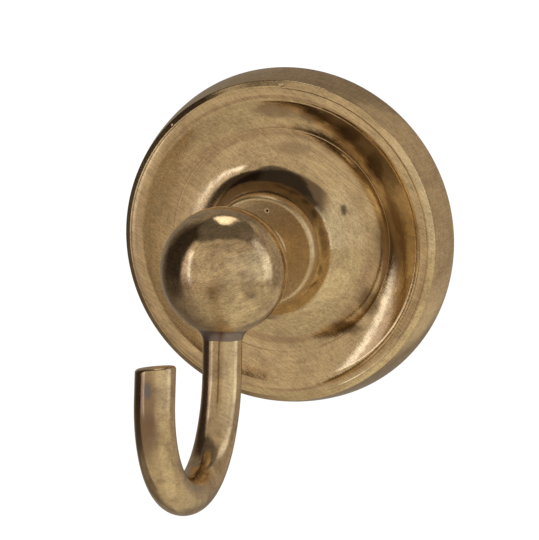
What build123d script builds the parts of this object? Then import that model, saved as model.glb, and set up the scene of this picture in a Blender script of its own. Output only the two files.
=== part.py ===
from build123d import *
import math
import os

# Wall hook in aged brass, for a bathrobe or a towel.
# A hollow-backed rose covers a fixing plate on the wall. A turned spindle clamps through the
# rose, a drilled ball screws on its end, and a bent rod is brazed into the underside of the ball.
#
# Frame: the wall is the plane Y = 0, the hook stands out towards -Y, and +Z is up.
# The origin is the centre of the rose's back, on the wall. Lengths are in millimetres.
# "Out" is the distance from the wall. Turned profiles are drawn as (radius, out).

# Rose, the round cover: a tapered side, a narrow sloping band, a sharp edge with a small quirk
# inside it, a flat land, a slope down into the dish, and a deep cove up to the neck
rose_radius = 30.0
side_taper = 1.5
side_bulge = 0.16
band_out = 7.6
band_width = 1.05
band_rise = 0.45
band_round = 0.5
quirk_depth = 0.22
quirk_width = 0.15
land_width = 2.1
land_rise = 0.16
land_crown = 0.16
crest_round = 1.2
slope_tilt = 14.1
dish_out = 5.9
dish_offset = 0.9
cove_margin = 0.25
seat_radius = 10.0
neck_height = 2.83
rose_wall = 2.2
seat_wall = 2.4
rim_wall = 2.6
rim_draft = 0.4
rim_depth = 5.3
rim_inside_round = 0.8
back_edge_round = 0.3

# Spindle, turned from one bar: rear stud, collar, neck and front spigot
stud_radius = 3.0
stud_length = 9.8
stud_clearance = 0.2
stud_chamfer = 0.5
collar_radius = 10.0
collar_thickness = 2.6
collar_front_round = 0.7
collar_back_round = 0.2
spindle_neck_radius = 4.4
spindle_neck_root = 0.6
spigot_radius = 3.0
spigot_length = 6.5
thread_gap = 0.05

# Ball
ball_radius = 10.87
ball_out = 36.95
ball_flat_margin = 0.3
ball_drill_spare = 0.8

# Hook rod: a straight stem, three tangent arcs and a straight tip, in the plane X = 0
rod_radius = 3.36
rod_socket_depth = 4.6
stem_lean = 3.26
stem_length = 17.94
bend_radii = [20.0, 14.8, 17.85]
bend_turns = [34.4, 54.7, 92.8]
tip_length = 5.4
tip_skew = 7.0
tip_edge_round = 0.6
braze_gap = 0.05
braze_leg = 1.4

# Fixing plate on the wall, inside the rose
plate_thickness = 2.6
plate_gap = 0.6
plate_undercut = 1.4
screw_hole_radius = 2.25
screw_head_radius = 4.3
screw_spacing = 32.0

# Grub screw in the underside of the rose, its end just below the surface
grub_radius = 1.5
grub_length = 3.0
grub_out = 1.6
grub_tip_gap = 0.05
grub_socket_flats = 1.5
grub_socket_depth = 1.2

# Washer and thin nut behind the rose
washer_radius = 6.0
washer_thickness = 1.0
nut_flats = 10.0
nut_thickness = 3.2

# Drawing planes: turned profiles as (radius, out), the rod's path as (out, height).
profile_plane = Plane(origin=(0, 0, 0), x_dir=(1, 0, 0), z_dir=(0, 0, -1))
side_plane = Plane(origin=(0, 0, 0), x_dir=(0, -1, 0), z_dir=(-1, 0, 0))


def turned(face):
    """A profile of (radius, out) spun about the rose's axis."""
    return revolve(profile_plane * face, Axis.Y)


def disc(radius, first_out, last_out):
    """A round bar on the rose's axis, from first_out to last_out."""
    with BuildPart() as bar:
        with BuildSketch(Plane(origin=(0, -first_out, 0), z_dir=(0, -1, 0))):
            Circle(radius)
        extrude(amount=last_out - first_out)
    return bar.part


def low_arc(centre, radius, at):
    """The point at a given radius from the axis, on the wall side of an arc."""
    return (at, centre[1] - math.sqrt(radius ** 2 - (at - centre[0]) ** 2))


def arc_between(centre, radius, start, end):
    """The wall side of an arc, from one distance off the axis to another."""
    middle = low_arc(centre, radius, (start[0] + end[0]) / 2)
    return ThreePointArc(start, middle, end)


def sunk(edge, share, depth):
    """The point under an edge of the outline, on the side towards the wall."""
    way = edge % share
    return edge @ share + Vector(-way.Y, way.X) * depth


# Rose. From the neck a cove falls to the bottom of the dish and just past it, and a longer arc
# that shares its tangent rises to the crest.
band_radius = rose_radius - side_taper
edge_radius = band_radius - band_width
edge_out = band_out + band_rise
quirk_radius = edge_radius - quirk_width
land_out = edge_out - quirk_depth
crest = (quirk_radius - land_width, land_out + land_rise)
dish_radius = (seat_radius + crest[0]) / 2 + dish_offset
dish_sweep = dish_radius - seat_radius + cove_margin
dish_centre = (dish_radius, dish_out + dish_sweep)
cove_top = low_arc(dish_centre, dish_sweep, seat_radius)
tilt = math.radians(slope_tilt)
slope_way = (math.cos(tilt), math.sin(tilt))
slope_foot = (dish_centre[0] + dish_sweep * slope_way[1], dish_centre[1] - dish_sweep * slope_way[0])
seat_out = cove_top[1] + neck_height
land_middle = ((quirk_radius + crest[0]) / 2, (land_out + crest[1]) / 2 + land_crown)
side_middle = ((rose_radius + band_radius) / 2 + side_bulge, band_out / 2)
stud_hole_radius = stud_radius + stud_clearance

side = ThreePointArc((rose_radius, 0), side_middle, (band_radius, band_out))
band = Line((band_radius, band_out), (edge_radius, edge_out))
quirk = Line((edge_radius, edge_out), (quirk_radius, land_out))
land = ThreePointArc((quirk_radius, land_out), land_middle, crest)
slope = TangentArc(slope_foot, crest, tangent=slope_way)
cove = arc_between(dish_centre, dish_sweep, slope_foot, cove_top)
top = Polyline(cove_top, (seat_radius, seat_out), (0, seat_out), (0, 0), (rose_radius, 0))
rose_face = make_face(side + band + quirk + land + slope + cove + top)
shoulder = rose_face.vertices().sort_by_distance((band_radius, band_out))[0]
rose_face = fillet(shoulder, band_round)
crest_corner = rose_face.vertices().sort_by_distance(crest)[0]
rose_face = fillet(crest_corner, crest_round)
rose_blank = turned(rose_face)

# The hollow behind it keeps an even wall under the slope and the cove.
inner_sweep = dish_sweep + rose_wall
inside_out = seat_out - seat_wall
inside_rim = rose_radius - rim_wall
inside_crest = sunk(slope, 1, -rose_wall)
inside_foot = sunk(slope, 0, -rose_wall)
inner_slope = ThreePointArc(inside_crest, sunk(slope, 0.5, -rose_wall), inside_foot)
seat_reach = math.sqrt(inner_sweep ** 2 - (dish_centre[1] - inside_out) ** 2)
inside_top = (dish_centre[0] - seat_reach, inside_out)
inner_cove = arc_between(dish_centre, inner_sweep, (inside_foot.X, inside_foot.Y), inside_top)
rim_corner = (inside_rim - rim_draft, rim_depth)
rim = Polyline((0, inside_out), (0, 0), (inside_rim, 0), rim_corner, inside_crest)
roof = Line(inside_top, (0, inside_out))
hollow_face = make_face(rim + inner_slope + inner_cove + roof)
roof_corner = hollow_face.vertices().sort_by_distance(rim_corner)[0]
hollow_face = fillet(roof_corner, rim_inside_round)
rose = rose_blank - turned(hollow_face)
rose -= disc(stud_hole_radius, 0, seat_out)
back_edge = rose.edges().filter_by(GeomType.CIRCLE).filter_by_position(Axis.Y, -0.01, 0.01)
rose = fillet(back_edge.sort_by(SortBy.RADIUS)[-1], back_edge_round)

# Fixing plate: its edge is undercut, so the grub screw's point draws the rose to the wall.
plate_radius = inside_rim - rim_draft - plate_gap
plate_back = plate_radius - plate_undercut
plate_outline = Polyline(
    (0, 0),
    (plate_back, 0),
    (plate_radius, plate_thickness),
    (0, plate_thickness),
    close=True,
)
wall_plate = turned(make_face(plate_outline))
head_depth = screw_head_radius - screw_hole_radius
plate_front = Plane(origin=(0, -plate_thickness, 0), x_dir=(1, 0, 0), z_dir=(0, -1, 0))
for screw_height in [screw_spacing / 2, -screw_spacing / 2]:
    hole_place = plate_front * Pos(0, screw_height, 0)
    wall_plate -= hole_place * Pos(0, 0, -plate_thickness / 2) * Cylinder(
        screw_hole_radius, 2 * plate_thickness
    )
    wall_plate -= hole_place * Pos(0, 0, -head_depth / 2) * Cone(
        screw_hole_radius, screw_head_radius, head_depth
    )

# Grub screw: a cone point just clear of the plate's edge, and a hexagon socket below.
edge_slope = plate_undercut / plate_thickness
plate_edge_here = plate_back + edge_slope * grub_out
grub_top = -(plate_edge_here + grub_tip_gap)
grub_place = Pos(0, -grub_out, 0)
grub_shank = grub_length - grub_radius
grub_point = Pos(0, 0, grub_top - grub_radius / 2) * Cone(grub_radius, 0, grub_radius)
grub_body = Pos(0, 0, grub_top - grub_radius - grub_shank / 2) * Cylinder(grub_radius, grub_shank)
grub_bottom = Plane(origin=(0, 0, grub_top - grub_length), z_dir=(0, 0, 1))
socket_corner = grub_socket_flats / math.sqrt(3)
socket = extrude(grub_bottom * RegularPolygon(socket_corner, 6), grub_socket_depth)
grub_screw = grub_place * (grub_point + grub_body - socket)
grub_hole_length = rose_radius - plate_radius + grub_length
grub_hole = Pos(0, -grub_out, -rose_radius) * Cylinder(grub_radius + thread_gap, 2 * grub_hole_length)
rose -= grub_hole

# Spindle
ball_flat_radius = spindle_neck_radius + ball_flat_margin
ball_flat_out = ball_out - math.sqrt(ball_radius ** 2 - ball_flat_radius ** 2)
collar_face = seat_out + collar_thickness
stud_end = seat_out - stud_length
spigot_end = ball_flat_out + spigot_length
spindle_outline = Polyline(
    (0, stud_end),
    (stud_radius - stud_chamfer, stud_end),
    (stud_radius, stud_end + stud_chamfer),
    (stud_radius, seat_out),
    (collar_radius, seat_out),
    (collar_radius, collar_face),
    (spindle_neck_radius, collar_face),
    (spindle_neck_radius, ball_flat_out),
    (spigot_radius, ball_flat_out),
    (spigot_radius, spigot_end - stud_chamfer),
    (spigot_radius - stud_chamfer, spigot_end),
    (0, spigot_end),
    close=True,
)
spindle_face = make_face(spindle_outline)
front_corner = spindle_face.vertices().sort_by_distance((collar_radius, collar_face))[0]
spindle_face = fillet(front_corner, collar_front_round)
back_corner = spindle_face.vertices().sort_by_distance((collar_radius, seat_out))[0]
spindle_face = fillet(back_corner, collar_back_round)
root_corner = spindle_face.vertices().sort_by_distance((spindle_neck_radius, collar_face))[0]
spindle_face = fillet(root_corner, spindle_neck_root)
spindle = turned(spindle_face)

# Washer and nut on the stud, against the inside of the rose
washer_out = inside_out - washer_thickness
spindle_washer = disc(washer_radius, washer_out, inside_out)
spindle_washer -= disc(stud_hole_radius, 0, inside_out)
nut_out = washer_out - nut_thickness
nut_plane = Plane(origin=(0, -nut_out, 0), z_dir=(0, -1, 0))
nut_blank = extrude(nut_plane * RegularPolygon(nut_flats / math.sqrt(3), 6), nut_thickness)
nut_corner = nut_flats / math.sqrt(3)
nut_bevel = (nut_corner - nut_flats / 2) * math.tan(math.radians(30))
nut_turned = Polyline(
    (0, nut_out),
    (nut_flats / 2, nut_out),
    (nut_corner, nut_out + nut_bevel),
    (nut_corner, washer_out - nut_bevel),
    (nut_flats / 2, washer_out),
    (0, washer_out),
    close=True,
)
spindle_nut = nut_blank & turned(make_face(nut_turned))
spindle_nut -= disc(stud_radius + thread_gap, 0, washer_out)

# Rod path from its end in the ball
lean = math.radians(stem_lean)
stem_way = (math.sin(lean), -math.cos(lean))
socket_start = ball_radius - rod_socket_depth
rod_start = (ball_out + socket_start * stem_way[0], socket_start * stem_way[1])
rod_foot = (ball_out + stem_length * stem_way[0], stem_length * stem_way[1])
path = Line(rod_start, rod_foot)
for bend_radius, bend_turn in zip(bend_radii, bend_turns):
    path += JernArc(path @ 1, path % 1, bend_radius, bend_turn)
tip_way = path % 1
tip_foot = path @ 1
path += Line(tip_foot, tip_foot + tip_way * (tip_length + rod_radius))
rod_path = side_plane * path
rod_section = Plane(origin=rod_path @ 0, z_dir=rod_path % 0) * Circle(rod_radius)
rod_blank = sweep(rod_section, path=rod_path)

# The tip is cut a little out of square, its right side longer.
tip_centre = rod_path @ 1 - (rod_path % 1) * rod_radius
skew = math.radians(tip_skew)
cut_way = (rod_path % 1) * math.cos(skew) - Vector(1, 0, 0) * math.sin(skew)
tip_plane = Plane(origin=tip_centre, z_dir=cut_way)
hook_rod = rod_blank - tip_plane * Pos(0, 0, rod_radius) * Cylinder(2 * rod_radius, 2 * rod_radius)
tip_edge = hook_rod.faces().sort_by_distance(tip_centre)[0].edges()
hook_rod = fillet(tip_edge, tip_edge_round)

# Ball, flattened and drilled for the spindle, and drilled from below for the rod
stem_plane = Plane(origin=(0, -ball_out, 0), x_dir=(1, 0, 0), z_dir=(0, -stem_way[0], stem_way[1]))
ball = Pos(0, -ball_out, 0) * Sphere(ball_radius)
ball -= disc(2 * ball_radius, ball_flat_out - ball_radius, ball_flat_out)
ball -= disc(spigot_radius + thread_gap, 0, spigot_end + ball_drill_spare)
rod_hole_length = 2 * ball_radius
rod_hole_middle = socket_start + rod_hole_length / 2
ball -= stem_plane * Pos(0, 0, rod_hole_middle) * Cylinder(rod_radius + braze_gap, rod_hole_length)

# Braze: a hollow-faced ring between the ball and the stem, drawn as (radius, distance down the stem)
braze_radius = rod_radius + braze_leg
ball_at_rod = math.sqrt(ball_radius ** 2 - rod_radius ** 2)
ball_at_ring = math.sqrt(ball_radius ** 2 - braze_radius ** 2)
ring_middle_radius = (rod_radius + braze_radius) / 2
ball_at_middle = math.sqrt(ball_radius ** 2 - ring_middle_radius ** 2)
braze_foot = ball_at_rod + braze_leg
hollow_middle = (rod_radius + 0.3 * braze_leg, ball_at_rod + 0.3 * braze_leg)
ball_side = ThreePointArc(
    (rod_radius, ball_at_rod), (ring_middle_radius, ball_at_middle), (braze_radius, ball_at_ring)
)
braze_skin = ThreePointArc((braze_radius, ball_at_ring), hollow_middle, (rod_radius, braze_foot))
braze_inside = Line((rod_radius, braze_foot), (rod_radius, ball_at_rod))
braze_face = make_face(ball_side + braze_skin + braze_inside)
braze_plane = Plane(origin=(0, -ball_out, 0), x_dir=(1, 0, 0), z_dir=stem_plane.x_dir.cross(stem_plane.z_dir))
braze_axis = Axis((0, -ball_out, 0), tuple(stem_plane.z_dir))
braze_fillet = revolve(braze_plane * braze_face, braze_axis)

os.makedirs("parts", exist_ok=True)
pieces = {
    "rose": rose,
    "wall_plate": wall_plate,
    "grub_screw": grub_screw,
    "spindle": spindle,
    "spindle_washer": spindle_washer,
    "spindle_nut": spindle_nut,
    "ball": ball,
    "hook_rod": hook_rod,
    "braze_fillet": braze_fillet,
}
for name, piece in pieces.items():
    piece.label = name
    export_step(piece, "parts/" + name + ".step")
    print(name, round(piece.volume, 2), piece.is_valid)
rod_length = rod_path.length - rod_radius
print("rod volume over section times length", hook_rod.volume / (math.pi * rod_radius ** 2 * rod_length))
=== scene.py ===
import math

import bmesh
import bpy
import numpy as np
from mathutils import Matrix, Vector


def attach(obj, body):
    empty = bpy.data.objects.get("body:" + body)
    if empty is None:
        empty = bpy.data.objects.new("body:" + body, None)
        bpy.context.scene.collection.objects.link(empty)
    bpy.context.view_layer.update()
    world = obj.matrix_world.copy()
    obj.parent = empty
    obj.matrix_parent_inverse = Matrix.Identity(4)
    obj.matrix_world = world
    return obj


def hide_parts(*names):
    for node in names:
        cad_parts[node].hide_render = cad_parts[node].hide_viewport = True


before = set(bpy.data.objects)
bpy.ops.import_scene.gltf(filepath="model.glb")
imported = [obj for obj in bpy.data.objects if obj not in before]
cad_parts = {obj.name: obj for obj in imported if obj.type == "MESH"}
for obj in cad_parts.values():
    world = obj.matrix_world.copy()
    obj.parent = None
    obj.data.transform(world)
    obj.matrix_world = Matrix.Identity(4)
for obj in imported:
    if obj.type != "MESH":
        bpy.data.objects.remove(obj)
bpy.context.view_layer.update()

scene = bpy.context.scene
MM = 0.001

# Rose: profile points as (radius, distance out from the wall), in millimetres
ROSE_RADIUS = 29.998
SIDE_MIDDLE = (29.41, 3.8)
BAND = (28.56, 7.36)
BAND_TOP = (27.6, 8.03)
EDGE = (27.4, 8.07)
QUIRK = (27.22, 7.97)
CREST = (25.2, 7.99)
LAND_CROWN = 0.16
BAND_ROUND = 0.3
BAND_TOP_ROUND = 0.12
EDGE_ROUND = 0.06
CREST_ROUND = 2.0
COVE_CENTRE = (18.5, 14.65)
COVE_SWEEP = 8.75
COVE_TILT = math.radians(38.9)
NECK_ARCS = ((12.3, 50.5), (9.1, 80.0))  # radius, tilt in degrees at the end of the arc
SLOPE_TILT = math.radians(14.1)
SEAT_OUT = 15.403
BORE_RADIUS = 3.2
ROSE_WALL = 2.2
INSIDE_OUT = 13.003
RIM_CORNER = (27.0, 5.3)
RIM_CORNER_ROUND = 0.8
RIM_FOOT = (27.4, 0.0)
WALL_EDGE = (29.0, 0)
SIDE_FOOT = (29.94, 0.5)
WALL_EDGE_ROUND = 0.3
WALL_EDGE_TOP = 0.4
SHORTEST_STEP = 0.012  # a point nearer than this to the one before is left out
TOOL_LINE = (19.94, 0.13, 0.03)  # radius, half of its width, depth
TOOL_LINE_OUT = (5.5, 6.4)  # holds the dish at that radius, and not the hollow behind it
GRUB_HOLE_RADIUS = 1.55
GRUB_OUT = 1.6
GRUB_HOLE_HEIGHTS = (-24.0, -34.0)

# Spindle, ball and the holes in the ball
COLLAR_FACE = 18.003
COLLAR_RADIUS = 10.0
COLLAR_BACK_ROUND = 0.2
EDGE_CURVE = (0.95, 2.2)  # the collar's front edge is a quarter ellipse, this wide and this deep
STUD_RADIUS = 3.0
STUD_END = 5.603
STUD_BEVEL = 0.5
NECK_RADIUS = 4.4
NECK_ROOT_ROUND = 0.6
SPIGOT_LENGTH = 6.5
BALL_RADIUS = 10.87
BALL_OUT = 36.95
BALL_FLAT = 4.7
SPIGOT_HOLE = (3.05, 7.3)  # radius, depth
ROD_HOLE_RADIUS = 3.41

# Hook, from the ball down: the stem, the bends, the tip and the ring of braze
ROD_RADIUS = 3.35
STEM_LEAN = math.radians(3.26)
STEM_LENGTH = 17.94
SOCKET_START = 6.27
SOCKET_CUT_END = 14.0
BENDS = ((20.0, 34.4), (14.8, 54.7), (17.85, 92.8))  # radius, turn in degrees
TIP_LENGTH = 5.4
TIP_SKEW = math.radians(7.0)
TIP_ROUND = 0.6
BRAZE_LEG = 1.4
BRAZE_WAVE = (0.93, 0.1)  # the leg's mean as a share of the above, and how far it wanders
BRAZE_HOLLOW = 0.3  # where the middle of its hollow face lies, as a share of the leg
BRAZE_SINK = 0.3  # how far it goes into the bar and the ball
BRAZE_LIFT = 0.01  # how far its edges stand off them

BALL_MIDDLE = Vector((0, -BALL_OUT, 0))
DOWN_STEM = Vector((0, -math.sin(STEM_LEAN), -math.cos(STEM_LEAN)))

# Meshes: segments round each piece, and the angles in degrees from which an edge is sharp
ROSE_SEGMENTS, SPINDLE_SEGMENTS, BALL_SEGMENTS = 300, 192, 256
BAR_SIDES, BRAZE_SEGMENTS, DRILL_SEGMENTS = 96, 200, 64
SHARP_TURNED, SHARP_BAR, SHARP_BRAZE = 34, 50, 60


def arc(start, middle, end, steps):
    """Points on the circle through three points, from start to end."""
    (ax, ay), (bx, by), (cx, cy) = start, middle, end
    d = 2 * (ax * (by - cy) + bx * (cy - ay) + cx * (ay - by))
    a2, b2, c2 = ax * ax + ay * ay, bx * bx + by * by, cx * cx + cy * cy
    ux = (a2 * (by - cy) + b2 * (cy - ay) + c2 * (ay - by)) / d
    uy = (a2 * (cx - bx) + b2 * (ax - cx) + c2 * (bx - ax)) / d
    first = math.atan2(ay - uy, ax - ux)
    half_way = math.atan2(by - uy, bx - ux)
    last = math.atan2(cy - uy, cx - ux)
    turn = (last - first) % math.tau
    if (half_way - first) % math.tau > turn:
        turn -= math.tau
    return around((ux, uy), math.hypot(ax - ux, ay - uy), first, first + turn, steps)


def around(centre, radius, first, last, steps):
    """Points on a circle from one angle to another."""
    angles = [first + (last - first) * i / steps for i in range(steps + 1)]
    return [(centre[0] + radius * math.cos(a), centre[1] + radius * math.sin(a)) for a in angles]


def line(start, end, steps):
    """Points on a straight line, both ends included."""
    shares = [i / steps for i in range(steps + 1)]
    return [tuple(Vector(start).lerp(Vector(end), share)) for share in shares]


def rounded(before, corner, after, radius, steps=6):
    """The small arc that takes the place of a corner."""
    u = (Vector(before) - Vector(corner)).normalized()
    v = (Vector(after) - Vector(corner)).normalized()
    half = u.angle(v) / 2
    reach = radius / math.tan(half)
    middle = Vector(corner) + (u + v).normalized() * (radius / math.sin(half) - radius)
    first, last = Vector(corner) + u * reach, Vector(corner) + v * reach
    return arc(tuple(first), tuple(middle), tuple(last), steps)


def join_round(first, second, radius, steps=8):
    """Two runs of points that meet at a corner, joined by an arc."""
    corner = Vector(first[-1])
    bend = rounded(first[-3], first[-1], second[2], radius, steps)
    reach = (Vector(bend[0]) - corner).length * 1.05
    kept = [[p for p in run if (Vector(p) - corner).length > reach] for run in (first, second)]
    return kept[0] + bend + kept[1]


def rose_profile():
    """The outside from the wall to the seat, then the bore, the hollow and the rim's back."""
    side = arc((ROSE_RADIUS, 0), SIDE_MIDDLE, BAND, 30)
    rim = join_round(side, line(BAND, BAND_TOP, 8), BAND_ROUND)
    rim = join_round(rim, line(BAND_TOP, EDGE, 6), BAND_TOP_ROUND, 4)
    rim = join_round(rim, line(EDGE, QUIRK, 4), EDGE_ROUND, 4)
    land_middle = ((QUIRK[0] + CREST[0]) / 2, (QUIRK[1] + CREST[1]) / 2 + LAND_CROWN)

    foot_angle = SLOPE_TILT - math.pi / 2
    angle = -math.pi / 2 - COVE_TILT
    cove = around(COVE_CENTRE, COVE_SWEEP, foot_angle, angle, 60)
    for sweep, tilt in NECK_ARCS:
        centre = Vector(cove[-1]) - Vector((math.cos(angle), math.sin(angle))) * sweep
        end_angle = -math.pi / 2 - math.radians(tilt)
        cove += around(centre, sweep, angle, end_angle, 26)[1:]
        angle = end_angle
    seat_edge = (cove[-1][0], SEAT_OUT)
    way_up = Vector((-math.sin(SLOPE_TILT), math.cos(SLOPE_TILT)))
    chord = Vector(CREST) - Vector(cove[0])
    slope_sweep = chord.length_squared / (2 * chord.dot(way_up))
    slope_centre = Vector(cove[0]) + way_up * slope_sweep
    crest_angle = math.atan2(CREST[1] - slope_centre[1], CREST[0] - slope_centre[0])
    slope = around(slope_centre, slope_sweep, crest_angle, foot_angle, 26)
    face = join_round(arc(QUIRK, land_middle, CREST, 12), slope, CREST_ROUND, 12)

    inside_sweep = COVE_SWEEP + ROSE_WALL
    inside_angle = -math.pi + math.asin((COVE_CENTRE[1] - INSIDE_OUT) / inside_sweep)
    inside_cove = around(COVE_CENTRE, inside_sweep, inside_angle, foot_angle, 34)
    inside_slope = around(slope_centre, slope_sweep + ROSE_WALL, foot_angle, crest_angle, 12)
    rim_round = rounded(inside_slope[-1], RIM_CORNER, RIM_FOOT, RIM_CORNER_ROUND)
    wall_edge = rounded(WALL_EDGE, (ROSE_RADIUS, 0), SIDE_FOOT, WALL_EDGE_ROUND, 4)

    points = wall_edge + [p for p in rim if p[1] > WALL_EDGE_TOP]
    points += face[1:] + cove[1:]
    bore_front, bore_back = (BORE_RADIUS, SEAT_OUT), (BORE_RADIUS, INSIDE_OUT)
    points += line(cove[-1], seat_edge, 3)[1:] + line(seat_edge, bore_front, 4)[1:]
    points += line(bore_front, bore_back, 3)[1:] + line(bore_back, inside_cove[0], 3)[1:]
    points += inside_cove[1:] + inside_slope[1:] + rim_round + line(RIM_FOOT, WALL_EDGE, 2)
    spaced = [points[0]]
    for point in points[1:]:
        if (Vector(point) - Vector(spaced[-1])).length > SHORTEST_STEP:
            spaced.append(point)
    return scored(spaced)


def scored(points):
    """Adds the fine line that the turning tool left near the bottom of the dish."""
    radius, half_width, depth = TOOL_LINE
    low, high = TOOL_LINE_OUT
    made = []
    for a, b in zip(points, points[1:] + points[:1]):
        made.append(a)
        front = min(a[1], b[1]) > low and max(a[1], b[1]) < high and a[0] > b[0]
        if front and a[0] > radius - half_width and b[0] < radius + half_width:
            made += [tuple(Vector(a).lerp(Vector(b), share)) for share in (0.2, 0.4, 0.6, 0.8)]
    groove = []
    for r, out in made:
        near = abs(r - radius) / half_width
        if near < 1 and low < out < high:
            out -= depth * 0.5 * (1 + math.cos(math.pi * near))
        groove.append((r, out))
    return groove


def spindle_profile(ball_flat):
    """Half of the spindle's outline, from the stud's end to the spigot's end."""
    seat, face = SEAT_OUT, COLLAR_FACE
    on_back = (9.0, seat)
    stud = [(0, STUD_END), (STUD_RADIUS - STUD_BEVEL, STUD_END)]
    stud += [(STUD_RADIUS, STUD_END + STUD_BEVEL), (STUD_RADIUS, seat), on_back]
    corner = (COLLAR_RADIUS, seat)
    back = rounded(on_back, corner, (COLLAR_RADIUS, face), COLLAR_BACK_ROUND, 4)
    width, depth = EDGE_CURVE
    front = []
    for i in range(25):
        t = math.pi / 2 * i / 24
        inwards, backwards = width * (1 - math.cos(t)), depth * (1 - math.sin(t))
        front.append((COLLAR_RADIUS - inwards, face - backwards))
    on_face, on_neck = (6.0, face), (NECK_RADIUS, face + 3)
    root = rounded(on_face, (NECK_RADIUS, face), on_neck, NECK_ROOT_ROUND, 8)
    flat = line(front[-1], root[0], 14)[1:-1]
    neck = line(root[-1], (NECK_RADIUS, ball_flat), 8)[1:]
    end = ball_flat + SPIGOT_LENGTH
    spigot = [(STUD_RADIUS, ball_flat), (STUD_RADIUS, end - STUD_BEVEL)]
    spigot += [(STUD_RADIUS - STUD_BEVEL, end), (0, end)]
    return stud + back + front + flat + root + neck + spigot


def ball_profile(ball_flat):
    """The hole for the spindle, then the ball's outside from the flat round it to the front."""
    hole_radius, hole_depth = SPIGOT_HOLE
    bottom = ball_flat + hole_depth
    points = [(0, bottom), (hole_radius, bottom), (hole_radius, ball_flat)]
    first = math.asin(BALL_FLAT / BALL_RADIUS)
    skin = around((0, BALL_OUT), BALL_RADIUS, first - math.pi / 2, math.pi / 2, 150)
    return points + skin[:-1] + [(0, BALL_OUT + BALL_RADIUS)]


def new_thing(name, bm, sharp):
    """A smooth-shaded object from a bmesh, with its faces turned outwards."""
    bmesh.ops.recalc_face_normals(bm, faces=bm.faces)
    mesh = bpy.data.meshes.new(name)
    bm.to_mesh(mesh)
    bm.free()
    mesh.shade_smooth()
    mesh.set_sharp_from_angle(angle=math.radians(sharp))
    thing = bpy.data.objects.new(name, mesh)
    scene.collection.objects.link(thing)
    return thing


def skin_rings(bm, rings, closed=False):
    """Faces between neighbouring rings. A ring of one vertex makes a fan."""
    pairs = list(zip(rings, rings[1:]))
    if closed:
        pairs.append((rings[-1], rings[0]))
    count = max(len(ring) for ring in rings)
    for a, b in pairs:
        for i in range(count):
            j = (i + 1) % count
            corners = [a[i % len(a)], a[j % len(a)], b[j % len(b)], b[i % len(b)]]
            bm.faces.new(list(dict.fromkeys(corners)))


def lathe(name, profile, segments, closed=False):
    """Spins (radius, out) points about the wall's normal."""
    bm = bmesh.new()
    rings = []
    for r, out in profile:
        if r < 1e-6:
            rings.append([bm.verts.new((0, -out * MM, 0))])
            continue
        turns = [math.tau * i / segments for i in range(segments)]
        places = [(r * math.sin(t) * MM, -out * MM, r * math.cos(t) * MM) for t in turns]
        rings.append([bm.verts.new(place) for place in places])
    skin_rings(bm, rings, closed)
    return new_thing(name, bm, SHARP_TURNED)


def drill(thing, start, end, radius):
    """Cuts a round hole from one point to another, given in millimetres."""
    start, end = Vector(start), Vector(end)
    way = end - start
    bm = bmesh.new()
    bmesh.ops.create_cone(bm, cap_ends=True, segments=DRILL_SEGMENTS,
                          radius1=radius * MM, radius2=radius * MM, depth=way.length * MM)
    turn = way.to_track_quat("Z", "Y").to_matrix().to_4x4()
    bm.transform(Matrix.Translation((start + end) / 2 * MM) @ turn)
    cutter = new_thing(thing.name + "_cutter", bm, SHARP_TURNED)
    cut = thing.modifiers.new("hole", "BOOLEAN")
    cut.operation, cut.solver, cut.object = "DIFFERENCE", "EXACT", cutter
    bpy.context.view_layer.update()
    settled = thing.evaluated_get(bpy.context.evaluated_depsgraph_get())
    mesh = bpy.data.meshes.new_from_object(settled)
    thing.modifiers.clear()
    thing.data = mesh
    mesh.set_sharp_from_angle(angle=math.radians(SHARP_TURNED))
    bpy.data.objects.remove(cutter)


def dimple(thing, centre, radius, depth, lip=0.0):
    """Sinks a small round pit into a surface, after splitting the faces round it.

    A lip stands up round the pit, out to lip_reach times its radius.
    """
    lip_reach = 1.8
    centre = Vector(centre) * MM
    radius, depth, lip = radius * MM, depth * MM, lip * MM
    bm = bmesh.new()
    bm.from_mesh(thing.data)
    for reach in (2.6, 2.0):
        inside = {v for v in bm.verts if (v.co - centre).length < reach * radius}
        near = [e for e in bm.edges if all(v in inside for v in e.verts)]
        coarse = [e for e in near if e.calc_length() > radius * 0.2]
        bmesh.ops.subdivide_edges(bm, edges=coarse, cuts=2, use_grid_fill=True)
    bm.normal_update()
    moved = []
    for v in bm.verts:
        far = (v.co - centre).length / radius
        if far < lip_reach:
            bowl = 0.5 * (1 + math.cos(math.pi * min(far, 1.0)))
            crown = math.sin(math.pi * max(far - 1.0, 0.0) / (lip_reach - 1.0))
            moved.append((v, v.normal * (lip * crown - depth * bowl)))
    for v, step in moved:
        v.co += step
    bm.to_mesh(thing.data)
    bm.free()


def hook_line():
    """The bar's centres as (out, height) with headings, and the way on from them to the tip."""
    way = Vector((math.sin(STEM_LEAN), -math.cos(STEM_LEAN)))
    start = Vector((BALL_OUT, 0)) + way * SOCKET_START
    run = STEM_LENGTH - SOCKET_START
    stem_steps = 40
    centres = [(start + way * run * i / stem_steps, STEM_LEAN) for i in range(stem_steps + 1)]
    heading = STEM_LEAN
    for radius, turn in BENDS:
        middle = centres[-1][0] + Vector((math.cos(heading), math.sin(heading))) * radius
        steps = round(turn)
        for i in range(1, steps + 1):
            now = heading + math.radians(turn) * i / steps
            centres.append((middle - Vector((math.cos(now), math.sin(now))) * radius, now))
        heading += math.radians(turn)
    return centres, Vector((math.sin(heading), -math.cos(heading)))


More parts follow.
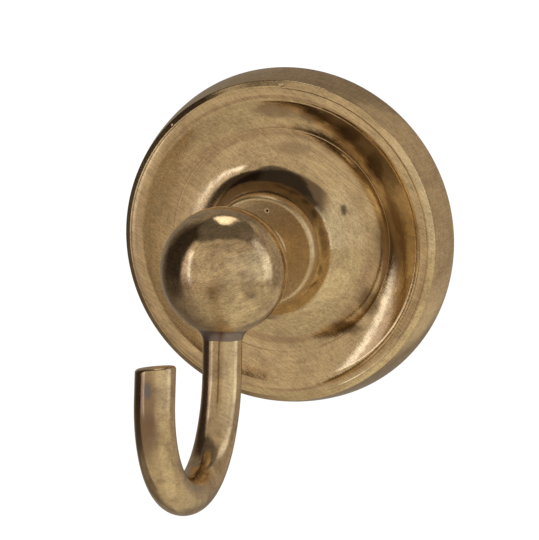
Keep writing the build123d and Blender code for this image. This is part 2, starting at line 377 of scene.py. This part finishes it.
def hook_bar():
    """The bent bar. Its tip is cut a little out of square, its right side longer."""
    centres, tip_way = hook_line()
    heading = centres[-1][1]
    foot = centres[-1][0]
    straight = TIP_LENGTH - TIP_ROUND
    straight_steps, round_steps = 12, 8
    rings = [(centres[0][0], STEM_LEAN, ROD_RADIUS * 0.5, 0.0)]
    rings += [(centre, angle, ROD_RADIUS, 0.0) for centre, angle in centres]
    for i in range(1, straight_steps + 1):
        place = foot + tip_way * straight * i / straight_steps
        rings.append((place, heading, ROD_RADIUS, i / straight_steps))
    for i in range(1, round_steps + 1):
        a = math.pi / 2 * i / round_steps
        place = foot + tip_way * (straight + TIP_ROUND * math.sin(a))
        rings.append((place, heading, ROD_RADIUS - TIP_ROUND * (1 - math.cos(a)), 1.0))
    for share in (0.8, 0.6, 0.4, 0.2):
        rings.append((foot + tip_way * TIP_LENGTH, heading, (ROD_RADIUS - TIP_ROUND) * share, 1.0))
    bm = bmesh.new()
    made = []
    for centre, angle, radius, skewed in rings:
        across = Vector((math.cos(angle), math.sin(angle)))
        ring = []
        for i in range(BAR_SIDES):
            a = math.tau * i / BAR_SIDES
            x = radius * math.sin(a)
            skew = tip_way * (x * skewed * math.tan(TIP_SKEW))
            out, height = centre + across * radius * math.cos(a) + skew
            ring.append(bm.verts.new((x * MM, -out * MM, height * MM)))
        made.append(ring)
    skin_rings(bm, made)
    bm.faces.new(made[0])
    bm.faces.new(made[-1])
    return new_thing("hook_bar", bm, SHARP_BAR)


def braze_ring():
    """A ring of braze with an uneven leg, drawn as (radius, distance down the stem)."""
    rng = np.random.default_rng(5)
    turns = np.arange(BRAZE_SEGMENTS) * math.tau / BRAZE_SEGMENTS
    wave = sum(rng.normal() / k * np.cos(k * turns + rng.uniform(0, 6.28)) for k in range(2, 12))
    side = Vector((1, 0, 0))
    other = DOWN_STEM.cross(side)
    mean, wander = BRAZE_WAVE
    at_rod = math.sqrt(BALL_RADIUS ** 2 - ROD_RADIUS ** 2)
    bm = bmesh.new()
    columns = []
    for turn, uneven in zip(turns, wave):
        leg = BRAZE_LEG * (mean + wander * uneven)
        outer = ROD_RADIUS + leg
        on_ball = math.sqrt(BALL_RADIUS ** 2 - outer ** 2)
        hollow = (ROD_RADIUS + BRAZE_HOLLOW * leg, at_rod + BRAZE_HOLLOW * leg)
        top, foot = (outer, on_ball + BRAZE_LIFT), (ROD_RADIUS + BRAZE_LIFT, at_rod + leg)
        section = arc(top, hollow, foot, 16)
        in_rod = ROD_RADIUS - BRAZE_SINK
        section += [(in_rod, at_rod + leg), (in_rod, at_rod - BRAZE_SINK)]
        section.append((outer - 0.1, on_ball - BRAZE_SINK))
        across = side * math.cos(turn) + other * math.sin(turn)
        places = [(BALL_MIDDLE + across * r + DOWN_STEM * s) * MM for r, s in section]
        columns.append([bm.verts.new(place) for place in places])
    skin_rings(bm, columns, closed=True)
    return new_thing("braze_ring", bm, SHARP_BRAZE)


class Nodes:
    """A short way to write node graphs."""

    def __init__(self, tree):
        self.tree = tree
        tree.nodes.clear()

    def add(self, kind, **values):
        node = self.tree.nodes.new(kind)
        for key, value in values.items():
            setattr(node, key, value)
        return node

    def put(self, socket, value):
        if hasattr(value, "is_linked"):
            self.tree.links.new(value, socket)
        else:
            socket.default_value = value

    def math(self, operation, a, b=0.0, clamp=False):
        node = self.add("ShaderNodeMath", operation=operation, use_clamp=clamp)
        self.put(node.inputs[0], a)
        self.put(node.inputs[1], b)
        return node.outputs[0]

    def plus(self, *values):
        total = values[0]
        for value in values[1:]:
            total = self.math("ADD", total, value)
        return total

    def times(self, *values):
        total = values[0]
        for value in values[1:]:
            total = self.math("MULTIPLY", total, value)
        return total

    def vector(self, operation, a, b=(0, 0, 0)):
        node = self.add("ShaderNodeVectorMath", operation=operation)
        self.put(node.inputs[0], a)
        self.put(node.inputs["Scale"] if operation == "SCALE" else node.inputs[1], b)
        number = operation in ("DOT_PRODUCT", "LENGTH", "DISTANCE")
        return node.outputs["Value" if number else "Vector"]

    def turn(self, vector, rotation, size):
        """A vector turned by degrees about x, y and z, then stretched."""
        node = self.add("ShaderNodeMapping")
        self.put(node.inputs["Vector"], vector)
        node.inputs["Rotation"].default_value = [math.radians(a) for a in rotation]
        return self.vector("MULTIPLY", node.outputs[0], size)

    def noise(self, vector, scale, detail=3.0, rough=0.55, distort=0.0, out="Fac"):
        node = self.add("ShaderNodeTexNoise")
        self.put(node.inputs["Vector"], vector)
        node.inputs["Scale"].default_value = scale
        node.inputs["Detail"].default_value = detail
        node.inputs["Roughness"].default_value = rough
        node.inputs["Distortion"].default_value = distort
        return node.outputs[out]

    def span(self, value, low, high, to_low=0.0, to_high=1.0):
        """Goes from to_low to to_high while the value goes from low to high, with eased ends."""
        node = self.add("ShaderNodeMapRange", interpolation_type="SMOOTHSTEP")
        self.put(node.inputs["Value"], value)
        ends = {"From Min": low, "From Max": high, "To Min": to_low, "To Max": to_high}
        for key, end in ends.items():
            self.put(node.inputs[key], end)
        return node.outputs[0]

    def window(self, value, low, high, soft):
        """1 between two values and 0 outside them, with soft ends."""
        opens = self.span(value, low - soft, low + soft)
        return self.times(opens, self.span(value, high + soft, high - soft))

    def mix(self, factor, a, b):
        node = self.add("ShaderNodeMix", data_type="RGBA")
        self.put(node.inputs["Factor"], factor)
        for key, value in (("A", a), ("B", b)):
            self.put(node.inputs[key], value if hasattr(value, "is_linked") else (*value, 1.0))
        return node.outputs["Result"]

    def spot(self, position, centre, size, soft=0.5):
        """1 inside a small round or long patch, 0 outside, with a soft edge. In millimetres."""
        away = self.vector("DIVIDE", self.vector("SUBTRACT", position, centre), size)
        return self.span(self.vector("LENGTH", away), 1.0, 1.0 - soft)


# Materials: lengths in millimetres, and the scales of noise per millimetre
BRIGHT_BRASS = (0.76, 0.59, 0.365)
BROWN_BRASS = (0.32, 0.225, 0.15)
# painted shade: the dark crescent round the top of the collar
PAINTED_SHADE_BROWN = (0.13, 0.09, 0.06)
# painted shade on a pit's floor, and a painted highlight round its rim
PIT_PAINTED_SHADE = (0.02, 0.014, 0.01)
PIT_PAINTED_HIGHLIGHT = (0.9, 0.76, 0.52)


def turned_rings(n, position):
    """The marks of turning about the wall's normal, with the x, z and radius they lie at."""
    parts = n.add("ShaderNodeSeparateXYZ")
    n.put(parts.inputs[0], position)
    x, z = parts.outputs["X"], parts.outputs["Z"]
    radius = n.math("SQRT", n.plus(n.times(x, x), n.times(z, z)))
    lap = n.add("ShaderNodeCombineXYZ")
    n.put(lap.inputs["X"], n.times(radius, 2.6))
    n.put(lap.inputs["Y"], n.times(n.math("DIVIDE", x, radius), 2.2))
    n.put(lap.inputs["Z"], n.times(n.math("DIVIDE", z, radius), 2.2))
    ring = n.noise(lap.outputs[0], 1.0, 3.0, 0.8)
    return n.span(ring, 0.3, 0.7, -1.0, 1.0), x, z, radius


def aged_brass(name, patina, gloss, brushed=1.0, turned=0.0, lean=(20, 35, -30), dull=(),
               stains_and_painted_light=(), pits=(), painted_shade_ring=None, bright=BRIGHT_BRASS, brown=BROWN_BRASS):
    """Metal with a patina, rubbed back by hand, with brushed hairlines and turned rings.

    Patina is the share of brown, gloss the least roughness, brushed and turned the strength of
    the hairlines and the rings, lean the way the hairlines run, in degrees. In millimetres:
    dull patches are (centre, size, roughness added), and stained patches (centre, size, colour,
    share), which are real stains and also painted dark reflections and painted glints. Pits are
    (centre, radius), each with painted shade on its floor and a painted highlight round it. The
    ring of painted shade behind the collar, a dark crescent, is given by two radii and needs a
    turned face.
    """
    material = bpy.data.materials.new(name)
    material.use_nodes = True
    n = Nodes(material.node_tree)
    position = n.vector("SCALE", n.add("ShaderNodeTexCoord").outputs["Object"], 1 / MM)

    # patina in clouds and smaller blotches, grain, specks, and hairlines in two directions
    cloud = n.noise(position, 0.13, 4.0, 0.6, 0.8)
    blotch = n.noise(position, 0.6, 4.0, 0.65, 0.4)
    grain = n.noise(position, 5.5, 3.0, 0.7)
    speck = n.noise(position, 3.1, 1.5, 0.5)
    hair = n.noise(n.turn(position, lean, (0.13, 3.2, 3.2)), 1.0, 3.0, 0.8)
    crossed = (lean[0] + 25, lean[1] - 70, lean[2] + 60)
    cross_hair = n.noise(n.turn(position, crossed, (0.10, 4.4, 4.4)), 1.0, 2.0, 0.75)
    fine = n.span(grain, 0.35, 0.7, -1.0, 1.0)
    hairs = n.plus(n.span(hair, 0.3, 0.7, -1.0, 1.0), n.span(cross_hair, 0.3, 0.7, -0.7, 0.7))
    age = n.times(n.span(cloud, 0.36, 0.66), 0.65)
    dark = n.times(n.span(blotch, 0.42, 0.74), 0.45)
    old = n.times(n.plus(age, dark), patina)
    rough = n.plus(gloss, n.times(old, 0.08), n.times(hairs, 0.008), n.times(fine, 0.006))
    tone = n.plus(1.0, n.times(fine, 0.035), n.times(hairs, 0.11 * brushed))
    tone = n.plus(tone, n.times(n.span(speck, 0.68, 0.74), -0.3))
    height = n.plus(n.times(hairs, 0.08 * brushed), n.times(grain, 0.06))
    height = n.plus(height, n.times(n.noise(position, 0.3, 1.5, 0.5), 6.0))

    if turned:
        rings, x, z, radius = turned_rings(n, position)
        tone = n.plus(tone, n.times(rings, 0.08 * turned))
        rough = n.plus(rough, n.times(rings, 0.01 * turned))
        height = n.plus(height, n.times(rings, 0.12 * turned))
    colour = n.vector("SCALE", n.mix(old, bright, brown), tone)
    # painted shade: the upper part of a ring round the neck, behind the collar, is darkened
    if painted_shade_ring:
        inner, outer = painted_shade_ring
        ring = n.window(radius, inner, outer, 0.3)
        upper = n.times(ring, n.span(z, 1.0, 5.5), n.span(x, 10.5, 7.8))
        colour = n.mix(n.times(upper, 0.85), colour, PAINTED_SHADE_BROWN)

    # stained patches, painted dark reflections and painted glints are placed by a position that
    # wanders a little, so that their edges do too
    wander = 0.9
    drift = n.vector("SCALE", n.noise(position, 1.1, 2.0, out="Color"), wander)
    loose = n.vector("ADD", position, drift)
    loose = n.vector("SUBTRACT", loose, [wander / 2] * 3)
    for centre, size, amount in dull:
        rough = n.plus(rough, n.times(n.spot(position, centre, size, 0.7), amount))
    for centre, size, shade, amount in stains_and_painted_light:
        colour = n.mix(n.times(n.spot(loose, centre, size, 0.6), amount), colour, shade)
    # each pit gets a painted highlight round it and painted shade on its floor
    for centre, size in pits:
        hole = n.spot(position, centre, (size, size * 4, size), 0.5)
        rim = n.spot(position, centre, (size * 1.8, size * 4, size * 1.8), 0.4)
        lip = n.math("SUBTRACT", rim, hole, clamp=True)
        colour = n.mix(n.times(lip, 0.6), colour, PIT_PAINTED_HIGHLIGHT)
        colour = n.mix(hole, colour, PIT_PAINTED_SHADE)
        rough = n.plus(rough, n.times(hole, 0.4))

    bump = n.add("ShaderNodeBump")
    bump.inputs["Strength"].default_value = 0.5
    bump.inputs["Distance"].default_value = 0.012 * MM
    n.put(bump.inputs["Height"], height)
    shader = n.add("ShaderNodeBsdfPrincipled")
    n.put(shader.inputs["Base Color"], colour)
    shader.inputs["Metallic"].default_value = 1.0
    n.put(shader.inputs["Roughness"], rough)
    n.put(shader.inputs["Normal"], bump.outputs[0])
    n.put(n.add("ShaderNodeOutputMaterial").inputs["Surface"], shader.outputs[0])
    return material


def place(thing, node, slot, material):
    """Puts a made piece in the part, in place of the frame's node."""
    thing.data.materials.clear()
    thing.data.materials.append(material)
    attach(thing, "root")
    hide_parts(node)


# Pieces
COLLAR_PIT = (1.35, -COLLAR_FACE, 7.23)
COLLAR_PIT_RADIUS = 0.28
BALL_PIT = (-0.53, -47.68, 1.61)
TOP_NICK = (0.56, -8.0, 27.75)
LEFT_NICK = (-19.6, -8.0, 19.8)

rose = lathe("rose_cover", rose_profile(), ROSE_SEGMENTS, closed=True)
grub_hole = [(0, -GRUB_OUT, height) for height in GRUB_HOLE_HEIGHTS]
drill(rose, *grub_hole, GRUB_HOLE_RADIUS)
dimple(rose, TOP_NICK, radius=0.5, depth=0.16)
dimple(rose, LEFT_NICK, radius=0.4, depth=0.12)
ball_flat_out = BALL_OUT - math.sqrt(BALL_RADIUS ** 2 - BALL_FLAT ** 2)
spindle = lathe("spindle_turned", spindle_profile(ball_flat_out), SPINDLE_SEGMENTS)
dimple(spindle, COLLAR_PIT, COLLAR_PIT_RADIUS, depth=0.35, lip=0.03)
ball = lathe("ball_polished", ball_profile(ball_flat_out), BALL_SEGMENTS)
socket = [BALL_MIDDLE + DOWN_STEM * reach for reach in (SOCKET_START, SOCKET_CUT_END)]
drill(ball, *socket, ROD_HOLE_RADIUS)
dimple(ball, BALL_PIT, radius=0.14, depth=0.12)
hook = hook_bar()
braze = braze_ring()

# Stained patches, painted dark reflections and painted glints as (centre, size, colour, share), in
# millimetres
UPPER_PAINTED_REFLECTION, LOWER_PAINTED_REFLECTION, SMUDGE = (0.22, 0.15, 0.09), (0.2, 0.135, 0.08), (0.16, 0.12, 0.08)
# painted glint colour, whiter than the brass
PAINTED_GLINT = (0.95, 0.85, 0.7)
ROSE_STAINS_AND_PAINTED_LIGHT = [
    # painted dark reflections right of the collar and in the dish, upper right
    ((20.6, -6.6, 1.5), (4.6, 6.0, 10.0), UPPER_PAINTED_REFLECTION, 0.75),
    ((6.5, -7.6, 22.6), (4.5, 4.0, 1.8), UPPER_PAINTED_REFLECTION, 0.75),
    ((12.5, -7.0, 19.6), (3.6, 4.0, 2.2), UPPER_PAINTED_REFLECTION, 0.65),
    ((17.3, -6.5, 14.3), (2.4, 4.0, 3.6), UPPER_PAINTED_REFLECTION, 0.65),
    # painted dark reflections in the dish, lower right
    ((12.2, -6.0, -14.8), (4.0, 4.0, 1.6), LOWER_PAINTED_REFLECTION, 0.85),
    ((16.2, -6.0, -10.0), (2.5, 4.0, 3.2), LOWER_PAINTED_REFLECTION, 0.75),
    # thinner, at the top of the dish and under it
    ((-1.0, -7.4, 23.2), (5.5, 4.0, 1.9), (0.3, 0.2, 0.13), 0.7),
    ((2.0, -6.5, 16.5), (4.5, 4.0, 1.5), (0.36, 0.25, 0.16), 0.45),
    # a smudge on the cove
    ((11.87, -7.42, 6.5), (0.72, 1.6, 1.0), SMUDGE, 0.9),
    ((12.07, -7.42, 6.0), (0.72, 1.6, 1.0), SMUDGE, 0.9),
    # two painted glints below the collar
    ((5.92, -6.79, -13.4), (0.16, 0.6, 0.4), PAINTED_GLINT, 0.8),
    ((3.83, -6.29, -15.42), (0.22, 0.6, 0.22), PAINTED_GLINT, 0.7),
]
# a painted glint on the collar's face
COLLAR_PAINTED_GLINT = ((-0.11, -18.0, 7.33), (0.18, 0.5, 0.14), (0.98, 0.9, 0.75), 0.9)
ARM_BROWN = ((-0.4, -74.5, -17.5), (2.6, 5.0, 11.0), (0.33, 0.225, 0.155), 0.85)
ARM_GREY = ((-0.1, -74.9, -13.1), (0.9, 1.8, 2.0), (0.24, 0.215, 0.23), 0.85)

# Patches that are less polished, as (centre, size, roughness added), in millimetres
ROSE_LEFT_DULL = ((-24.0, -8.0, -4.0), (20.0, 14.0, 34.0), 0.22)
BALL_FOOT_DULL = ((0, -45.0, -7.5), (9.0, 9.0, 9.0), 0.26)

rose_brass = aged_brass("aged_brass_rose", patina=0.5, gloss=0.07, brushed=1.6, turned=1.0,
                        lean=(0, -35, 0), dull=[ROSE_LEFT_DULL], stains_and_painted_light=ROSE_STAINS_AND_PAINTED_LIGHT,
                        painted_shade_ring=(8.0, 12.9))
ball_brass = aged_brass("aged_brass_ball", patina=0.9, gloss=0.10, brushed=1.9,
                        dull=[BALL_FOOT_DULL], pits=[(BALL_PIT, 0.15)])
spindle_brass = aged_brass("aged_brass_spindle", patina=0.45, gloss=0.35, brushed=1.3, turned=0.5,
                           stains_and_painted_light=[COLLAR_PAINTED_GLINT], pits=[(COLLAR_PIT, COLLAR_PIT_RADIUS)])
bar_brass = aged_brass("aged_brass_bar", patina=0.8, gloss=0.15, brushed=0.9, lean=(0, 60, 80),
                       stains_and_painted_light=[ARM_BROWN, ARM_GREY])
braze_metal = aged_brass("dark_braze", patina=0.5, gloss=0.3, brushed=0.0,
                         bright=(0.33, 0.27, 0.26), brown=(0.12, 0.09, 0.085))
machined_brass = aged_brass("machined_brass", patina=0.15, gloss=0.22, turned=1.0,
                            bright=(0.78, 0.6, 0.33), brown=(0.55, 0.38, 0.19))
plain_steel = aged_brass("plain_steel", patina=0.4, gloss=0.28, brushed=0.6,
                         bright=(0.6, 0.59, 0.57), brown=(0.36, 0.33, 0.3))

place(rose, "rose", "aged_brass", rose_brass)
place(spindle, "spindle", "aged_brass", spindle_brass)
place(ball, "ball", "aged_brass", ball_brass)
place(hook, "hook_rod", "aged_brass", bar_brass)
place(braze, "braze_fillet", "braze", braze_metal)

# The hidden pieces keep the frame's meshes
hidden = {"wall_plate": machined_brass, "spindle_washer": machined_brass,
          "spindle_nut": machined_brass, "grub_screw": plain_steel}
for node, material in hidden.items():
    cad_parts[node].data.materials.clear()
    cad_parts[node].data.materials.append(material)

# Camera, fitted to the photograph: angles in degrees, lens and long side in pixels
CAMERA_AZ, CAMERA_EL, CAMERA_ROLL = 18.295, 10.474, 0.138
CAMERA_TARGET = Vector((4.14, -25.0, -1.738)) * MM
CAMERA_DISTANCE = 0.7
FOCAL_PIXELS, LONG_SIDE = 4086.9, 540

# Studio: soft light from all round
PAPER_WHITE = 1.05
WARMTH = (1.026, 0.941, 0.781)  # the tint of all the light that falls on the brass
DEGREES = 57.2958  # in a radian


def direction(azimuth, elevation):
    """Azimuth 0 is in front of the wall, 90 on the right."""
    a, e = math.radians(azimuth), math.radians(elevation)
    return Vector((math.sin(a) * math.cos(e), -math.cos(a) * math.cos(e), math.sin(e)))


def studio_light(n, way):
    """The light from each way, by elevation and by azimuth from where the camera stands.

    Each patch of the list lies over those before it.
    """
    forward = n.vector("DOT_PRODUCT", way, direction(CAMERA_AZ, 0))
    sideways = n.vector("DOT_PRODUCT", way, direction(CAMERA_AZ + 90, 0))
    upwards = n.vector("DOT_PRODUCT", way, (0, 0, 1))
    az = n.times(n.math("ARCTAN2", sideways, forward), DEGREES)
    el = n.times(n.math("ARCSINE", upwards), DEGREES)

    def box(low, high, soft, left, right, side_soft):
        """1 between two elevations and two azimuths, each pair with its own soft ends."""
        return n.times(n.window(el, low, high, soft), n.window(az, left, right, side_soft))

    front = n.window(az, -81.0, 97.0, 1.5)
    panel = n.times(front, n.window(el, -11.0, 37.0, 1.5))
    right_end = n.span(az, 94.5, 99.5)
    far_left = n.span(az, -80.0, -85.0)
    rear_left = n.span(az, -124.0, -140.0)
    behind = n.span(n.math("ABSOLUTE", az), 138.0, 152.0)
    far_behind = n.plus(n.span(az, -157.0, -165.0), n.span(az, 142.0, 168.0))
    leaning_az = n.plus(az, n.times(el, 0.21))
    aside = n.math("ABSOLUTE", n.plus(az, -5.0))
    over_edge = n.plus(67.0, n.times(n.span(aside, 25.0, 90.0), -20.0))
    patches = [
        # the floor in front, and the room under the front panel
        (n.span(el, -24.0, -36.0), (0.54, 0.52, 0.47)),
        (n.times(n.span(el, -28.0, -36.0), n.window(az, 15.0, 90.0, 14.0)), (0.70, 0.70, 0.64)),
        (n.times(n.window(el, -30.0, -11.0, 3.0), front), (0.46, 0.41, 0.38)),
        (box(-30.0, -11.0, 3.0, 2.0, 100.0, 10.0), (0.61, 0.60, 0.55)),
        # dark overhead, a little less so at the upper right
        (n.span(n.math("SUBTRACT", el, over_edge), -2.0, 2.0), (0.14, 0.13, 0.125)),
        (box(47.0, 66.0, 3.0, 66.0, 112.0, 6.0), (0.24, 0.22, 0.22)),
        # front panel, brighter to the right, with a bright right end and a thin band above
        (panel, (0.58, 0.55, 0.51)),
        (n.times(panel, n.span(az, -5.0, 12.0)), (0.70, 0.70, 0.69)),
        (n.times(panel, n.span(az, 22.0, 60.0)), (0.76, 0.80, 0.82)),
        (box(-11.0, 46.0, 3.0, 76.0, 97.0, 2.5), (1.1, 1.2, 1.35)),
        (box(38.0, 42.0, 1.0, -25.0, 60.0, 8.0), (0.66, 0.62, 0.58)),
        # its left end: a paler edge and a bluish strip that leans
        (box(-13.0, 33.0, 1.5, -81.0, -68.0, 1.5), (0.78, 0.74, 0.80)),
        (n.times(n.window(el, -14.0, 33.0, 1.5), n.window(leaning_az, -68.0, -61.5, 0.8)),
         (1.45, 1.6, 2.0)),
        # right of the panel, and the dark left
        (n.times(right_end, n.window(el, -22.0, 46.0, 6.0)), (0.42, 0.385, 0.36)),
        (n.times(far_left, n.window(el, -32.0, 58.0, 5.0)), (0.045, 0.037, 0.035)),
        (n.times(far_left, n.window(el, -36.0, -12.0, 6.0)), (0.09, 0.08, 0.072)),
        (n.times(far_left, n.window(el, -70.0, -32.0, 10.0)), (0.20, 0.18, 0.17)),
        (n.times(rear_left, n.window(el, -60.0, 52.0, 8.0)), (0.125, 0.11, 0.10)),
        (n.times(far_left, n.window(el, 56.0, 75.0, 6.0)), (0.13, 0.12, 0.12)),
        # behind, and a bright strip high up there
        (n.times(behind, n.window(el, -60.0, 52.0, 8.0)), (0.26, 0.24, 0.23)),
        (n.times(far_behind, n.window(el, 56.0, 78.0, 2.0)), (2.0, 2.05, 2.1)),
    ]
    light = (0.56, 0.53, 0.49)  # where no patch lies
    for mask, colour in patches:
        light = n.mix(mask, light, colour)
    return n.vector("MULTIPLY", light, WARMTH)


world = bpy.data.worlds.new("studio")
scene.world = world
world.use_nodes = True
w = Nodes(world.node_tree)
room = w.add("ShaderNodeBackground")
w.put(room.inputs["Color"], studio_light(w, w.add("ShaderNodeTexCoord").outputs["Generated"]))
paper = w.add("ShaderNodeBackground")
paper.inputs["Strength"].default_value = PAPER_WHITE
paper.inputs["Color"].default_value = (1, 1, 1, 1)
both = w.add("ShaderNodeMixShader")
w.put(both.inputs[0], w.add("ShaderNodeLightPath").outputs["Is Camera Ray"])
w.put(both.inputs[1], room.outputs[0])
w.put(both.inputs[2], paper.outputs[0])
w.put(w.add("ShaderNodeOutputWorld").inputs["Surface"], both.outputs[0])

# Floor, well below the part: white to the camera, and in the room's light to the brass
FLOOR_SIDE, FLOOR_FRONT, FLOOR_BACK, FLOOR_HEIGHT = 1.2, -0.6, 2.8, -0.25
floor_mesh = bpy.data.meshes.new("floor")
corners = [(x, y, FLOOR_HEIGHT) for x, y in ((-FLOOR_SIDE, FLOOR_FRONT), (FLOOR_SIDE, FLOOR_FRONT),
                                             (FLOOR_SIDE, FLOOR_BACK), (-FLOOR_SIDE, FLOOR_BACK))]
floor_mesh.from_pydata(corners, [], [(0, 1, 2, 3)])
floor = bpy.data.objects.new("floor", floor_mesh)
scene.collection.objects.link(floor)
pale = bpy.data.materials.new("pale_floor")
pale.use_nodes = True
p = Nodes(pale.node_tree)
spread = p.vector("SUBTRACT", p.add("ShaderNodeTexCoord").outputs["Object"], CAMERA_TARGET)
room_light = studio_light(p, p.vector("NORMALIZE", spread))
seen = p.add("ShaderNodeLightPath").outputs["Is Camera Ray"]
shine = p.add("ShaderNodeEmission")
p.put(shine.inputs["Color"], p.mix(seen, room_light, [PAPER_WHITE] * 3))
p.put(p.add("ShaderNodeOutputMaterial").inputs["Surface"], shine.outputs[0])
floor_mesh.materials.append(pale)

# Camera, at the photograph's angle
back = direction(CAMERA_AZ, CAMERA_EL)
right = direction(CAMERA_AZ + 90, 0)
roll = Matrix.Rotation(math.radians(CAMERA_ROLL), 3, back)
right, up = roll @ right, roll @ back.cross(right)
lens = bpy.data.cameras.new("camera")
lens.sensor_width = 36.0
lens.lens = FOCAL_PIXELS * lens.sensor_width / LONG_SIDE
lens.clip_start, lens.clip_end = 0.01, 100.0
camera = bpy.data.objects.new("camera", lens)
scene.collection.objects.link(camera)
where = CAMERA_TARGET + back * CAMERA_DISTANCE
camera.matrix_world = Matrix.Translation(where) @ Matrix((right, up, back)).transposed().to_4x4()
scene.camera = camera
scene.view_settings.view_transform = "Standard"
scene.view_settings.look = "None"
